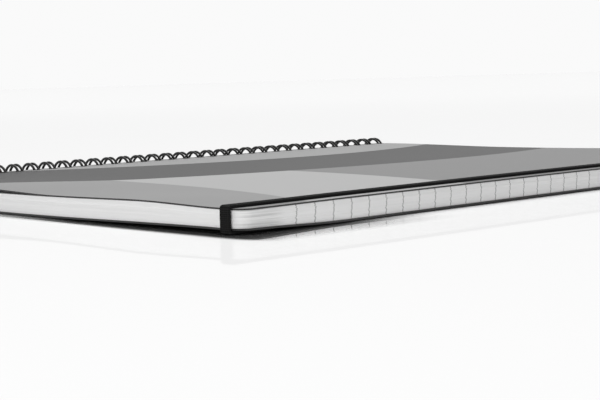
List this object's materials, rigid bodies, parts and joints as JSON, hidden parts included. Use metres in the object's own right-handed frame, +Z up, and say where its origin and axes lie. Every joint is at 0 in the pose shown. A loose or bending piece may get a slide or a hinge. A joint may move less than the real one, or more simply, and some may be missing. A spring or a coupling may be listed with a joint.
{
  "type": "wire-bound notebook",
  "caption": "Closed A4 notebook with a twin-loop wire spine, card covers, ruled sheets and a flat elastic band that holds it shut.",
  "frame": {"origin": "under the middle of the closed notebook, on the surface that it lies on", "axes": "+X from the spine to the fore-edge, +Y along the spine from the bottom edge to the top edge, +Z up through the front cover"},
  "size_m": [0.216, 0.2996, 0.0118],
  "materials": {
    "paper": "uncoated ruled sheets, seen at their cut edges",
    "printed_card": "satin laminate over broad grey fields, black at the cut edge and inside",
    "black_card": "matt black",
    "coated_wire": "black nylon coating, satin",
    "woven_elastic": "flat woven elastic, fine ribs along its length",
    "steel_bar": "pressed steel"
  },
  "bodies": {
    "pages": {"page_block": "paper"},
    "front": {"front_cover": "printed_card"},
    "back": {"back_cover": "black_card", "wire_binding": "coated_wire", "elastic_band": "woven_elastic", "elastic_bar_bottom": "steel_bar", "elastic_bar_top": "steel_bar"}
  },
  "joints": [
    {"name": "front_cover_turn", "type": "hinge", "parent": "pages", "child": "front", "pos_m": [-0.10215, 0, 0.00594], "axis": [0, -1, 0], "range_deg": [0, 180], "deforming": ["elastic_band"]},
    {"name": "back_cover_turn", "type": "hinge", "parent": "pages", "child": "back", "pos_m": [-0.10215, 0, 0.00594], "axis": [0, 1, 0], "range_deg": [0, 180], "deforming": ["elastic_band"]}
  ]
}
